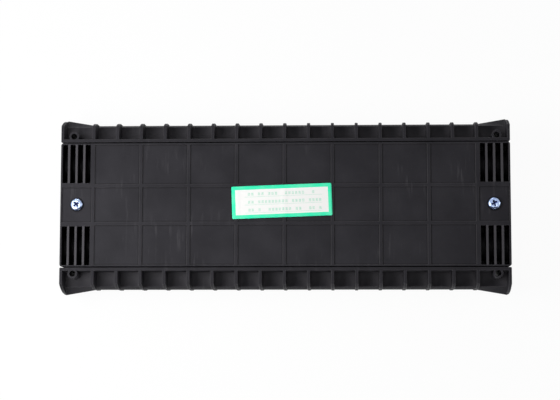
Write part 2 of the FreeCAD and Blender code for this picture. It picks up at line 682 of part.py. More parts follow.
bracket_screws, clamp_screws, anchor_screws = [], [], []
SMALL = ("small_screw_radius", "small_head_radius", "small_head_height")
for name, x_sign, y_sign in CORNERS:
    bracket_screws.append(pan_screw(f"{name}_bracket_screw", f"{x_sign}post_spacing_x / 2",
                                    f"{y_sign}post_spacing_y / 2", TRAY_SEAT, *SMALL,
                                    "bracket_thick + small_screw_bite", BEVELLED_CROWN))

    # An omega-shaped strap over the cable
    clamp = new_body(f"{name}_cable_clamp", z="half_height", x=f"{x_sign}clamp_position", y=y_sign + PORT_Y)
    outside = f"({CLAMP_BORE} + clamp_thick)"
    feet = drawing_on(clamp, "feet", "YZ_Plane")
    rectangle(feet, f"-{CLAMP_REACH}", CLAMP_REACH, CLAMP_SEAT, f"{CLAMP_SEAT} + clamp_thick")
    pad(feet, "clamp_width", middle=True)
    legs = drawing_on(clamp, "legs", "YZ_Plane")
    rectangle(legs, f"-{outside}", outside, CLAMP_SEAT, "0")
    pad(legs, "clamp_width", middle=True)
    crown = drawing_on(clamp, "crown", "YZ_Plane")
    circle(crown, "0", "0", outside)
    pad(crown, "clamp_width", middle=True)
    passage = drawing_on(clamp, "passage", "YZ_Plane")
    rectangle(passage, f"-{CLAMP_BORE}", CLAMP_BORE, f"-2 * {outside}", "0")
    pocket(passage, "2 * clamp_width", middle=True)
    bore = drawing_on(clamp, "bore", "YZ_Plane")
    circle(bore, "0", "0", CLAMP_BORE)
    pocket(bore, "2 * clamp_width", middle=True)
    foot_holes = drawing_on(clamp, "foot_holes", "XY_Plane")
    for ear_side in ("", "-"):
        circle(foot_holes, "0", f"{ear_side}{CLAMP_HOLE}", "small_screw_radius + fit_play")
    pocket(foot_holes, f"2 * {outside}")
    keep(clamp)
    for ear_side in ("+", "-"):
        place = f"{y_sign}{PORT_Y} {ear_side} {CLAMP_HOLE}"
        tag = "outer" if ear_side == "+" else "inner"
        clamp_screws.append(pan_screw(f"{name}_{tag}_clamp_bolt", f"{x_sign}clamp_position", place,
                                      f"{CLAMP_SEAT} + clamp_thick", *SMALL, "clamp_thick + bracket_thick",
                                      BEVELLED_CROWN))

    # A block that grips the cable's strength member, riveted into the bracket
    anchor = new_body(f"{name}_strength_anchor", z="half_height", x=f"{x_sign}anchor_position",
                      y=y_sign + PORT_Y)
    block = drawing_on(anchor, "block", "XY_Plane", CLAMP_SEAT)
    rounded(block, "anchor_size", "anchor_size", "anchor_corner")
    pad(block, "anchor_height")
    rivet = drawing_on(anchor, "rivet", "XY_Plane", CLAMP_SEAT)
    circle(rivet, "0", "0", "small_screw_radius")
    pad(rivet, "bracket_thick", reverse=True)
    member = drawing_on(anchor, "member", "YZ_Plane")
    circle(member, "0", "0", "anchor_bore")
    pocket(member, "2 * anchor_size", middle=True)
    shaft = drawing_on(anchor, "shaft", "XY_Plane", f"{CLAMP_SEAT} + anchor_height")
    circle(shaft, "0", "0", "small_screw_radius + fit_play")
    pocket(shaft, f"{CLAMP_SEAT} + anchor_height")
    keep(anchor)
    anchor_screws.append(pan_screw(f"{name}_anchor_bolt", f"{x_sign}anchor_position", y_sign + PORT_Y,
                                   f"{CLAMP_SEAT} + anchor_height", *SMALL,
                                   f"{CLAMP_SEAT} + anchor_height - anchor_bore", BEVELLED_CROWN))
group("bracket_screws", bracket_screws)
group("cable_clamp_screws", clamp_screws)
group("anchor_screws", anchor_screws)


# Splice trays, their holders and the clear cover
def splice_tray(label, floor):
    """Build one tray with two fibre spools and a screw pillar at each end."""
    body = new_body(label, z=f"half_height + {floor}")
    outline = drawing_on(body, "outline", "XY_Plane")
    rounded(outline, "tray_length", "tray_width", "tray_corner")
    pad(outline, "tray_height")
    inside = drawing_on(body, "inside", "XY_Plane", "tray_wall")
    rounded(inside, "tray_length - 2 * tray_wall", "tray_width - 2 * tray_wall", "(tray_corner - tray_wall)")
    pocket(inside, "tray_height", reverse=True)
    spools = drawing_on(body, "spools", "XY_Plane", "tray_wall / 2")
    pillars = drawing_on(body, "pillars", "XY_Plane", "tray_wall / 2")
    shafts = drawing_on(body, "shafts", "XY_Plane")
    for side in ("", "-"):
        circle(spools, f"{side}spool_position", "0", "spool_radius")
        circle(spools, f"{side}spool_position", "0", "spool_radius - tray_wall")
        circle(pillars, f"{side}tray_screw_position", "0", "pillar_radius")
        circle(shafts, f"{side}tray_screw_position", "0", "small_screw_radius + fit_play")
    pad(spools, "spool_height")
    pad(pillars, "tray_height - tray_wall / 2")
    pocket(shafts, "2 * tray_height", reverse=True)
    return keep(body)


def splice_holder(label, floor):
    """Build the comb that grips the splice sleeves of one tray."""
    body = new_body(label, z=f"half_height + {floor}")
    outline = drawing_on(body, "outline", "XY_Plane")
    width = "((holder_slots + 1) * holder_pitch)"
    rectangle(outline, "-holder_length / 2", "holder_length / 2", f"-{width} / 2", f"{width} / 2")
    pad(outline, "holder_height")
    slot = drawing_on(body, "slot", "XY_Plane", "holder_height")
    first = "(-(holder_slots - 1) / 2 * holder_pitch)"
    slot_sides = (f"{first} - holder_slot / 2", f"{first} + holder_slot / 2")
    rectangle(slot, "-holder_length", "holder_length", *slot_sides)
    slots = pocket(slot, "holder_height - holder_floor")
    repeat(slots, "Y_Axis", "(holder_slots - 1) * holder_pitch", "holder_slots")
    return keep(body)


for name, floor in (("lower", TRAY_SEAT), ("upper", f"({TRAY_SEAT} + tray_height)")):
    splice_tray(f"{name}_tray", floor)
    splice_holder(f"{name}_splice_holder", f"{floor} + tray_wall")

cover = new_body("tray_cover", z=f"half_height + {COVER_SEAT}")
sheet_outline = drawing_on(cover, "outline", "XY_Plane")
rounded(sheet_outline, "tray_length", "tray_width", "tray_corner")
for side in ("", "-"):
    circle(sheet_outline, f"{side}tray_screw_position", "0", "small_screw_radius + fit_play")
pad(sheet_outline, "cover_thick")
keep(cover)
group("tray_screws", [
    pan_screw(f"{name}_tray_bolt", f"{side}tray_screw_position", "0", f"{COVER_SEAT} + cover_thick", *SMALL,
              "cover_thick + 2 * tray_height + bracket_thick", BEVELLED_CROWN)
    for name, side in (("left", "-"), ("right", ""))
])

# The label on the grid of the upper shell
label = new_body("label", z="2 * half_height", turn=(FreeCAD.Vector(0, 0, 1), "label_turn"),
                 x="label_shift_x", y="label_shift_y")
label_outline = drawing_on(label, "outline", "XY_Plane")
rounded(label_outline, "label_length", "label_width", "label_corner")
pad(label_outline, "label_thick")
keep(label)

doc.recompute()
for item in doc.Objects:
    if {"Invalid", "Error"} & set(item.State):
        raise RuntimeError(f"{item.Name} failed: {item.State}")
for item in nodes:
    if item.Shape.isNull() or not item.Shape.isValid():
        raise RuntimeError(f"{item.Label} has no valid shape")

os.makedirs("parts", exist_ok=True)
for item in nodes:
    item.Shape.exportStep(f"parts/{item.Label}.step")
    print(item.Label, len(item.Shape.Solids), round(item.Shape.Volume))
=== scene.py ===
import logging
import math
from dataclasses import dataclass
from enum import Enum

import bmesh
import bpy
from bpy.types import Material, Node, NodeSocket, NodeTree, Object
from mathutils import Matrix, Vector


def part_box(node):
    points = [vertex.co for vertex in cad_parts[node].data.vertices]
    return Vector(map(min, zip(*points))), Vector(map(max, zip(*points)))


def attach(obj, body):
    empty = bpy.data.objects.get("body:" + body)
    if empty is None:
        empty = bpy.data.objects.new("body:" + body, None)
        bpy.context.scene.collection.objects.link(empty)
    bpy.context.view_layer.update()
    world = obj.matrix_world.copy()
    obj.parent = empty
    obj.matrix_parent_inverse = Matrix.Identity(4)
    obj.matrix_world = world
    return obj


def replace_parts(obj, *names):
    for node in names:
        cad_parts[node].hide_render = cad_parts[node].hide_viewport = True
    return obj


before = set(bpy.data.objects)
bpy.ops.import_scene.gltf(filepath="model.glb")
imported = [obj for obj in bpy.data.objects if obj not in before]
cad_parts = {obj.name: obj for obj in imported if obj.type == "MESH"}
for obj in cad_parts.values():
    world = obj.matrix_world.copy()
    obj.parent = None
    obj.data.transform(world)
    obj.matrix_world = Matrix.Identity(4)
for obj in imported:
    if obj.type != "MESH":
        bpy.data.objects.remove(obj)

LOG = logging.getLogger("splice_closure")
MILLIMETRE = 0.001
MERGE_DISTANCE = 0.001 * MILLIMETRE
FLAT_LIMIT = math.radians(0.4)
EDGE_LIMIT = math.radians(38)
BODY = "closure"
Colour = tuple[float, float, float]
Point = tuple[float, float, float]
BLACK: Colour = (0.0, 0.0, 0.0)


def tint(red: int, green: int, blue: int) -> Colour:
    """Turn a colour as a screen shows it into the shader's own scale.

    Args:
        red: Red from 0 to 255.
        green: Green from 0 to 255.
        blue: Blue from 0 to 255.

    Returns:
        The linear colour.
    """
    def linear(value: int) -> float:
        """Undo the screen's curve for one channel."""
        share = value / 255
        return share / 12.92 if share <= 0.04045 else ((share + 0.055) / 1.055) ** 2.4
    return linear(red), linear(green), linear(blue)


class Slot(Enum):
    """Material slots of the record."""

    ZINC = "zinc_fastener"
    LABEL = "label_film"


class Reading(Enum):
    """What a finish reads at a point of the surface."""

    PLACE = "Object"
    FACING = "Normal"
    CHART = "UV"


class NodeTable:
    """Lays out nodes in one tree."""

    def __init__(self, tree: NodeTree) -> None:
        """Take the tree that the nodes go in."""
        self.tree = tree

    def add(self, kind: str, **settings: object) -> Node:
        """Add one node.

        Args:
            kind: The node's type.
            settings: Properties of the node, by name.

        Returns:
            The new node.
        """
        node = self.tree.nodes.new(kind)
        for key, value in settings.items():
            setattr(node, key, value)
        return node

    def join(self, start: NodeSocket, end: NodeSocket) -> None:
        """Link an output to an input."""
        self.tree.links.new(start, end)

    def feed(self, socket: NodeSocket, value: object) -> None:
        """Give an input a link or a constant.

        Args:
            socket: The input.
            value: An output to link, a number, or a colour of three values.
        """
        if isinstance(value, NodeSocket):
            self.join(value, socket)
        elif isinstance(value, tuple) and len(socket.default_value) == 4:
            socket.default_value = (*value, 1.0)
        else:
            socket.default_value = value

    def maths(self, operation: str, first: object, second: object = 0.0) -> NodeSocket:
        """Join two values by one operation.

        Args:
            operation: The operation's name.
            first: An output or a number.
            second: An output or a number.

        Returns:
            The result.
        """
        node = self.add("ShaderNodeMath", operation=operation)
        self.feed(node.inputs[0], first)
        self.feed(node.inputs[1], second)
        return node.outputs["Value"]

    def product(self, first: NodeSocket, *others: object) -> NodeSocket:
        """Multiply values.

        Args:
            first: An output.
            others: Outputs or numbers.

        Returns:
            The product.
        """
        result = first
        for other in others:
            result = self.maths("MULTIPLY", result, other)
        return result

    def between(self, value: NodeSocket, low: float, high: float) -> NodeSocket:
        """Say whether a value lies between two limits.

        Args:
            value: The value.
            low: Lower limit.
            high: Upper limit.

        Returns:
            1 between the limits, 0 outside.
        """
        return self.product(self.maths("GREATER_THAN", value, low), self.maths("LESS_THAN", value, high))

    def span(
        self, value: NodeSocket, low: float, high: float, start: float = 0.0, end: float = 1.0
    ) -> NodeSocket:
        """Stretch a value from one range to another, clamped.

        Args:
            value: The value.
            low: Value that gives start.
            high: Value that gives end.
            start: Result at low.
            end: Result at high.

        Returns:
            The stretched value.
        """
        node = self.add("ShaderNodeMapRange")
        self.join(value, node.inputs["Value"])
        for key, number in (("From Min", low), ("From Max", high), ("To Min", start), ("To Max", end)):
            node.inputs[key].default_value = number
        return node.outputs["Result"]

    def white_rays(self) -> NodeSocket:
        """Say which rays show the backdrop as plain white.

        Returns:
            1 for camera, glossy and transmitted rays.
        """
        path = self.add("ShaderNodeLightPath")
        shiny = self.maths("MAXIMUM", path.outputs["Is Glossy Ray"], path.outputs["Is Transmission Ray"])
        return self.maths("MAXIMUM", path.outputs["Is Camera Ray"], shiny)


class NodeBench(NodeTable):
    """Lays out the shader nodes of one finish."""

    def __init__(self, name: str) -> None:
        """Start a material with one principled shader.

        Args:
            name: Name of the material.
        """
        self.material: Material = bpy.data.materials.new(name)
        self.material.use_nodes = True
        super().__init__(self.material.node_tree)
        self.tree.nodes.clear()
        self.output = self.add("ShaderNodeOutputMaterial")
        self.shader = self.add("ShaderNodeBsdfPrincipled")
        self.join(self.shader.outputs["BSDF"], self.output.inputs["Surface"])
        self.coordinates = self.add("ShaderNodeTexCoord")

    def shade(self, **inputs: object) -> None:
        """Set inputs of the principled shader, with words joined by underscores."""
        for key, value in inputs.items():
            self.feed(self.shader.inputs[key.replace("_", " ")], value)

    def axes(self, reading: Reading) -> list[NodeSocket]:
        """Split what a finish reads into its parts.

        Args:
            reading: What is read.

        Returns:
            The parts along X, Y and Z.
        """
        split = self.add("ShaderNodeSeparateXYZ")
        self.join(self.coordinates.outputs[reading.value], split.inputs["Vector"])
        return [split.outputs[axis] for axis in "XYZ"]

    def placed(self, stretch: Point = (1, 1, 1), turn: float = 0.0) -> NodeSocket:
        """Give object coordinates, stretched and turned about the vertical.

        Args:
            stretch: Factor along each axis.
            turn: Turn in radians.

        Returns:
            The vector output.
        """
        mapping = self.add("ShaderNodeMapping")
        self.join(self.coordinates.outputs[Reading.PLACE.value], mapping.inputs["Vector"])
        mapping.inputs["Scale"].default_value = stretch
        mapping.inputs["Rotation"].default_value = (0, 0, turn)
        return mapping.outputs["Vector"]

    def noise(self, place: NodeSocket, scale: float, detail: float) -> NodeSocket:
        """Make a cloudy pattern.

        Args:
            place: The vector that it reads.
            scale: Size of the pattern, as repeats a metre.
            detail: Number of finer layers.

        Returns:
            A value from 0 to 1.
        """
        node = self.add("ShaderNodeTexNoise")
        self.join(place, node.inputs["Vector"])
        node.inputs["Scale"].default_value = scale
        node.inputs["Detail"].default_value = detail
        return node.outputs["Fac"]

    def blend(self, share: NodeSocket, first: object, second: object) -> NodeSocket:
        """Mix two colours.

        Args:
            share: 0 for the first, 1 for the second.
            first: An output or a colour.
            second: An output or a colour.

        Returns:
            The mixed colour.
        """
        node = self.add("ShaderNodeMix", data_type="RGBA")
        self.feed(node.inputs[0], share)
        self.feed(node.inputs[6], first)
        self.feed(node.inputs[7], second)
        return node.outputs[2]

    def bump(self, height: NodeSocket, depth: float, strength: float) -> None:
        """Raise the surface's shading by a height.

        Args:
            height: A value from 0 to 1.
            depth: Height in metres that the value 1 stands for.
            strength: Share of the effect.
        """
        node = self.add("ShaderNodeBump")
        node.inputs["Strength"].default_value = strength
        node.inputs["Distance"].default_value = depth
        self.join(height, node.inputs["Height"])
        self.join(node.outputs["Normal"], self.shader.inputs["Normal"])


@dataclass(frozen=True)
class Pattern:
    """A cloudy pattern that fades in between two of its values."""

    scale: float
    detail: float
    low: float
    high: float
    start: float = 0.0
    end: float = 1.0
    stretch: Point = (1, 1, 1)
    turn: float = 0.0

    def lay(self, bench: NodeBench) -> NodeSocket:
        """Lay the pattern on a finish.

        Args:
            bench: The bench of the finish.

        Returns:
            A value from start to end.
        """
        clouds = bench.noise(bench.placed(self.stretch, self.turn), self.scale, self.detail)
        return bench.span(clouds, self.low, self.high, self.start, self.end)


@dataclass(frozen=True)
class Grain:
    """A fine unevenness, too small for the mesh, that the shading shows."""

    scale: float
    detail: float
    depth: float
    strength: float

    def lay(self, bench: NodeBench, stretch: Point = (1, 1, 1)) -> NodeSocket:
        """Lay the grain on a finish.

        Args:
            bench: The bench of the finish.
            stretch: Factor along each axis.

        Returns:
            The grain's height, from 0 to 1.
        """
        height = bench.noise(bench.placed(stretch), self.scale, self.detail)
        bench.bump(height, self.depth, self.strength)
        return height


@dataclass(frozen=True)
class Hollow:
    """Inner corners, pockets and slots, found by how open a spot is."""

    reach: float
    deep: float
    clear: float
    samples: int = 8

    def find(self, bench: NodeBench) -> NodeSocket:
        """Find the hidden spots.

        Args:
            bench: The bench of the finish.

        Returns:
            1 where the openness is at deep or less, 0 from clear upwards.
        """
        hollow = bench.add("ShaderNodeAmbientOcclusion", samples=self.samples)
        hollow.inputs["Distance"].default_value = self.reach
        return bench.span(hollow.outputs["AO"], self.deep, self.clear, 1, 0)


@dataclass(frozen=True)
class SlotRibs:
    """Where the thin ribs between the slots lie, measured from the closure's middle."""

    start: float = 158 * MILLIMETRE
    end: float = 176.5 * MILLIMETRE
    near: float = 17.4 * MILLIMETRE
    far: float = 48.6 * MILLIMETRE
    height: float = 24.5 * MILLIMETRE
    parting_height: float = 25 * MILLIMETRE

    def find(self, bench: NodeBench) -> NodeSocket:
        """Find the tops of the ribs.

        Args:
            bench: The bench of the finish.

        Returns:
            1 on the ribs' tops, 0 elsewhere.
        """
        x, y, z = bench.axes(Reading.PLACE)
        ends = bench.between(bench.maths("ABSOLUTE", x), self.start, self.end)
        sides = bench.between(bench.maths("ABSOLUTE", y), self.near, self.far)
        from_parting = bench.maths("ABSOLUTE", bench.maths("SUBTRACT", z, self.parting_height))
        return bench.product(ends, sides, bench.maths("GREATER_THAN", from_parting, self.height))


TONE_CLOUDS = Pattern(scale=38, detail=4, low=0.35, high=0.7)
RUB_STREAKS = Pattern(scale=330, detail=4, low=0.56, high=0.8, stretch=(1, 0.12, 0.12), turn=0.12)
RUB_PATCHES = Pattern(scale=22, detail=2, low=0.48, high=0.66)
PALE_SPECKS = Pattern(scale=1500, detail=1, low=0.72, high=0.8, end=0.35)
PLATE_CLOUDS = Pattern(scale=260, detail=4, low=0.35, high=0.7)
RUBBER_BLOOM = Pattern(scale=300, detail=5, low=0.45, high=0.75)
SHEET_HAZE = Pattern(scale=60, detail=4, low=0.4, high=0.8, start=0.04, end=0.16)
PRINT_FADE = Pattern(scale=900, detail=3, low=0.35, high=0.65, start=0.45)
INK_CLOUDS = Pattern(scale=120, detail=3, low=0.4, high=0.7, end=0.1)
PLASTIC_GRAIN = Grain(scale=1900, detail=3, depth=0.09 * MILLIMETRE, strength=0.6)
METAL_GRAIN = Grain(scale=1800, detail=3, depth=0.01 * MILLIMETRE, strength=0.4)
RUBBER_GRAIN = Grain(scale=1900, detail=3, depth=0.04 * MILLIMETRE, strength=0.5)
INNER_CORNERS = Hollow(reach=1.4 * MILLIMETRE, deep=0.55, clear=0.97)
RIB_POCKETS = Hollow(reach=12 * MILLIMETRE, deep=0.45, clear=0.85)
SLOT_DEPTHS = Hollow(reach=9 * MILLIMETRE, deep=0.2, clear=0.45)
SLOT_RIBS = SlotRibs()


@dataclass(frozen=True)
class MouldedPlastic:
    """Moulded plastic: fine grain, cloudy tone, rubbed marks, pocket floors made paler as painted light,
    and painted shade in its corners and slots.
    """

    name: str
    body: Colour
    cloud: Colour
    # pale colour of the rubbed marks, also used as painted light on the shaded pocket floors
    rub_and_pocket_light: Colour
    roughness: float = 0.5
    gloss: float = 0.05
    rub_share: float = 0.5
    rib_wear: float = 0.0
    pocket_floor_light: float = 0.0
    corner_shade: float = 0.0
    painted_slot_shade: bool = False
    smoother: float = 0.05
    rougher: float = 0.06
    steep: float = 0.6
    level: float = 0.95

    def make(self) -> Material:
        """Build the material.

        Returns:
            The finished material.
        """
        bench = NodeBench(self.name)
        clouds = TONE_CLOUDS.lay(bench)
        paint = bench.blend(self._marks(bench), bench.blend(clouds, self.body, self.cloud), self.rub_and_pocket_light)
        # painted light: upward-facing pocket floors, which the ribs shade, are painted paler in the pale
        # colour of the rubbed marks
        if self.pocket_floor_light:
            facing_up = bench.span(bench.axes(Reading.FACING)[2], self.steep, self.level)
            lit_pocket_floors = bench.product(facing_up, RIB_POCKETS.find(bench), self.pocket_floor_light)
            paint = bench.blend(lit_pocket_floors, paint, self.rub_and_pocket_light)
        # painted shade: inner corners are darkened towards black, where shade falls
        if self.corner_shade:
            paint = bench.blend(bench.product(INNER_CORNERS.find(bench), self.corner_shade), paint, BLACK)
        # painted shade: the deep floors of the slots are painted towards black, where no light reaches
        if self.painted_slot_shade:
            paint = bench.blend(SLOT_DEPTHS.find(bench), paint, BLACK)
        smooth, rough = self.roughness - self.smoother, self.roughness + self.rougher
        bench.shade(
            Base_Color=paint,
            Roughness=bench.span(clouds, 0, 1, smooth, rough),
            Specular_IOR_Level=self.gloss,
        )
        PLASTIC_GRAIN.lay(bench)
        return bench.material

    def _marks(self, bench: NodeBench) -> NodeSocket:
        """Lay rubbed marks, pale specks and the worn tops of the slot ribs.

        Args:
            bench: The bench of the finish.

        Returns:
            1 where the surface is rubbed pale, 0 where it is as moulded.
        """
        rubs = bench.product(RUB_STREAKS.lay(bench), RUB_PATCHES.lay(bench), self.rub_share)
        marks = bench.maths("MAXIMUM", rubs, PALE_SPECKS.lay(bench))
        if self.rib_wear:
            marks = bench.maths("MAXIMUM", marks, bench.product(SLOT_RIBS.find(bench), self.rib_wear))
        return marks


@dataclass(frozen=True)
class PlatedMetal:
    """Plated or rolled metal with a drawn grain."""

    name: str
    bright: Colour
    dull: Colour
    roughness: float
    drawn: Point = (1, 1, 1)
    smoother: float = 0.06
    rougher: float = 0.08
    grain_low: float = 0.3
    grain_high: float = 0.7

    def make(self) -> Material:
        """Build the material.

        Returns:
            The finished material.
        """
        bench = NodeBench(self.name)
        grain = METAL_GRAIN.lay(bench, self.drawn)
        smooth, rough = self.roughness - self.smoother, self.roughness + self.rougher
        bench.shade(
            Base_Color=bench.blend(PLATE_CLOUDS.lay(bench), self.bright, self.dull),
            Metallic=1.0,
            Roughness=bench.span(grain, self.grain_low, self.grain_high, smooth, rough),
        )
        return bench.material


@dataclass(frozen=True)
class SealRubber:
    """Matt rubber with a dusty bloom."""

    name: str
    body: Colour
    bloom: Colour
    clean_roughness: float = 0.62
    dusty_roughness: float = 0.8
    gloss: float = 0.25

    def make(self) -> Material:
        """Build the material.

        Returns:
            The finished material.
        """
        bench = NodeBench(self.name)
        bloom = RUBBER_BLOOM.lay(bench)
        bench.shade(
            Base_Color=bench.blend(bloom, self.body, self.bloom),
            Roughness=bench.span(bloom, 0, 1, self.clean_roughness, self.dusty_roughness),
            Specular_IOR_Level=self.gloss,
        )
        RUBBER_GRAIN.lay(bench)
        return bench.material


@dataclass(frozen=True)
class ClearSheet:
    """Clear plastic sheet with faint haze."""

    name: str
    body: Colour
    refraction: float = 1.49

    def make(self) -> Material:
        """Build the material.

        Returns:
            The finished material.
        """
        bench = NodeBench(self.name)
        haze = SHEET_HAZE.lay(bench)
        bench.shade(Base_Color=self.body, Roughness=haze, IOR=self.refraction, Transmission_Weight=1.0)
        return bench.material


@dataclass(frozen=True)
class PrintedFilm:
    """Label film: a coloured border round a pale field with plain dashes over thin rules."""

    name: str
    field: Colour
    border: Colour
    dash: Colour
    half_length: float
    half_width: float
    border_width: float = 2.9 * MILLIMETRE
    row_pitch: float = 6.4 * MILLIMETRE
    row_height: float = 2.4 * MILLIMETRE
    dash_pitch: float = 2.7 * MILLIMETRE
    dash_share: float = 0.68
    gap_share: float = 0.3
    margin: float = 9 * MILLIMETRE
    rule_drop: float = 2.2 * MILLIMETRE
    rule_width: float = 0.35 * MILLIMETRE
    smooth: float = 0.42
    rough: float = 0.55
    gloss: float = 0.2

    def make(self) -> Material:
        """Build the material on the piece's own map, which is in metres from the label's middle.

        Returns:
            The finished material.
        """
        bench = NodeBench(self.name)
        along, across, _ = bench.axes(Reading.CHART)
        from_middle = bench.maths("ABSOLUTE", along), bench.maths("ABSOLUTE", across)
        past_end = bench.maths("GREATER_THAN", from_middle[0], self.half_length - self.border_width)
        past_side = bench.maths("GREATER_THAN", from_middle[1], self.half_width - self.border_width)
        edge = bench.maths("MAXIMUM", past_end, past_side)
        printed = bench.product(self._print(bench, along, across), PRINT_FADE.lay(bench))
        clouds = INK_CLOUDS.lay(bench)
        ink = bench.blend(clouds, self.border, self.field)
        bench.shade(
            Base_Color=bench.blend(edge, bench.blend(printed, self.field, self.dash), ink),
            Roughness=bench.span(clouds, INK_CLOUDS.start, INK_CLOUDS.end, self.smooth, self.rough),
            Specular_IOR_Level=self.gloss,
        )
        return bench.material

    def _print(self, bench: NodeBench, along: NodeSocket, across: NodeSocket) -> NodeSocket:
        """Set dashes in rows, with a thin rule under each row.

        Args:
            bench: The bench of the finish.
            along: Place along the label.
            across: Place across the label.

        Returns:
            1 on the print, 0 on the bare field.
        """
        row = bench.maths("ROUND", bench.maths("DIVIDE", across, self.row_pitch))
        above_row = bench.maths("SUBTRACT", across, bench.product(row, self.row_pitch))
        in_row = bench.maths("LESS_THAN", bench.maths("ABSOLUTE", above_row), self.row_height / 2)
        from_rule = bench.maths("ABSOLUTE", bench.maths("ADD", above_row, self.rule_drop))
        rule = bench.maths("LESS_THAN", from_rule, self.rule_width / 2)

        step = bench.maths("DIVIDE", along, self.dash_pitch)
        cell = bench.maths("FLOOR", step)
        in_dash = bench.maths("LESS_THAN", bench.maths("SUBTRACT", step, cell), self.dash_share)
        seed = bench.add("ShaderNodeCombineXYZ")
        bench.join(cell, seed.inputs["X"])
        bench.join(row, seed.inputs["Y"])
        chance = bench.add("ShaderNodeTexWhiteNoise", noise_dimensions="2D")
        bench.join(seed.outputs["Vector"], chance.inputs["Vector"])
        chosen = bench.maths("GREATER_THAN", chance.outputs["Value"], self.gap_share)
        dashes = bench.product(in_row, in_dash, chosen)

        dash_middle = bench.product(bench.maths("ADD", cell, self.dash_share / 2), self.dash_pitch)
        from_middle = bench.maths("ABSOLUTE", dash_middle)
        inside = bench.maths("LESS_THAN", from_middle, self.half_length - self.margin)
        return bench.product(bench.maths("MAXIMUM", dashes, rule), inside)


SHELL_PLASTIC = MouldedPlastic(
    "shell_plastic",
    body=tint(42, 41, 45),
    cloud=tint(51, 50, 54),
    rub_and_pocket_light=tint(92, 90, 94),
    rib_wear=0.54,
    # painted shade in the corners and down the slots
    corner_shade=0.9,
    painted_slot_shade=True,
)
RAIL_PLASTIC = MouldedPlastic(
    "rail_plastic",
    body=tint(41, 40, 44),
    cloud=tint(48, 47, 51),
    rub_and_pocket_light=tint(92, 90, 94),
    roughness=0.54,
    rub_share=0.4,
    # painted light on the shaded pocket floors
    pocket_floor_light=0.45,
    corner_shade=0.2,
)
WORN_EDGE = MouldedPlastic(
    "worn_edge",
    body=tint(47, 46, 49),
    cloud=tint(57, 55, 59),
    rub_and_pocket_light=tint(98, 96, 100),
    roughness=0.44,
    gloss=0.15,
)
TRAY_PLASTIC = MouldedPlastic(
    "tray_plastic",
    body=tint(212, 212, 206),
    cloud=tint(222, 222, 217),
    rub_and_pocket_light=tint(236, 236, 233),
    roughness=0.45,
    gloss=0.45,
    rub_share=0.2,
)
ZINC_PLATE = PlatedMetal("zinc_plate", tint(172, 188, 218), tint(140, 158, 196), roughness=0.24)
# painted shade: the dark navy colour of the cross recess stands in for the shade inside it
SHADED_RECESS_ZINC = PlatedMetal("shaded_recess_zinc", tint(70, 80, 128), tint(38, 44, 84), roughness=0.45)
ROLLED_STEEL = PlatedMetal(
    "rolled_steel", tint(206, 208, 210), tint(176, 180, 184), roughness=0.36, drawn=(1, 0.05, 1)
)
TURNED_BRASS = PlatedMetal("turned_brass", tint(214, 178, 104), tint(184, 146, 76), roughness=0.3)
SEAL_RUBBER = SealRubber("seal_rubber", body=tint(30, 30, 31), bloom=tint(62, 62, 61))
CLEAR_SHEET = ClearSheet("clear_sheet", tint(244, 248, 250))


def dress(node: str, *materials: Material) -> Object:
    """Put finishes on a carried-over node in place of the plain one.

    Args:
        node: Name of the node.
        materials: The finishes, in the order of its slots.

    Returns:
        The node's object.
    """
    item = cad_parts[node]
    item.data.materials.clear()
    for material in materials:
        item.data.materials.append(material)
    LOG.info("dressed %s", node)
    return item


def ease_edges(item: Object, width: float, edge_slot: int = -1) -> None:
    """Round the sharp edges of a carried-over node by modifiers.

    Args:
        item: The node's object.
        width: Width of the rounding in metres.
        edge_slot: Material slot of the rounding, or -1 to keep its neighbours'.
    """
    weld = item.modifiers.new("weld", "WELD")
    weld.merge_threshold = MERGE_DISTANCE
    flat = item.modifiers.new("flat", "DECIMATE")
    flat.decimate_type = "DISSOLVE"
    flat.angle_limit = FLAT_LIMIT
    bevel = item.modifiers.new("ease", "BEVEL")
    bevel.limit_method = "ANGLE"
    bevel.angle_limit = EDGE_LIMIT
    bevel.width = width
    bevel.segments = 2
    bevel.profile = 0.5
    bevel.use_clamp_overlap = False
    bevel.material = edge_slot
    weigh_normals(item)


def weigh_normals(item: Object) -> None:
    """Let large faces stay flat in the shading, beside narrow rounded ones."""
    normals = item.modifiers.new("normals", "WEIGHTED_NORMAL")
    normals.keep_sharp = False


def object_from(bench: bmesh.types.BMesh, name: str, *materials: Material) -> Object:
    """Make a finished mesh into an object of the scene.

    Args:
        bench: The mesh, in metres and in the frame of the part.
        name: Name of the object.
        materials: The finishes, in the order of its slots.

    Returns:
        The object.
    """
    mesh = bpy.data.meshes.new(name)
    bench.to_mesh(mesh)
    bench.free()
    for material in materials:
        mesh.materials.append(material)
    item = bpy.data.objects.new(name, mesh)
    bpy.context.scene.collection.objects.link(item)
    LOG.info("built %s with %d faces", name, len(mesh.polygons))
    return item


def ride_on_closure(piece: Object) -> None:
    """Let a new piece ride on the closure.

    Args:
        piece: The piece.
    """
    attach(piece, BODY)


def turn_profile(bench: bmesh.types.BMesh, profile: list[tuple[float, float]], steps: int) -> None:
    """Turn a line of radius and height once round the vertical.

    Args:
        bench: The mesh that takes the result.
        profile: Points of the line.
        steps: Number of steps in the turn.
    """
    points = [bench.verts.new((radius, 0, height)) for radius, height in profile]
    edges = [bench.edges.new(pair) for pair in zip(points, points[1:])]
    bmesh.ops.spin(
        bench,
        geom=points + edges,
        cent=(0, 0, 0),
        axis=(0, 0, 1),
        angle=math.tau,
        steps=steps,
        use_merge=True,
    )
    bmesh.ops.remove_doubles(bench, verts=bench.verts, dist=MERGE_DISTANCE)


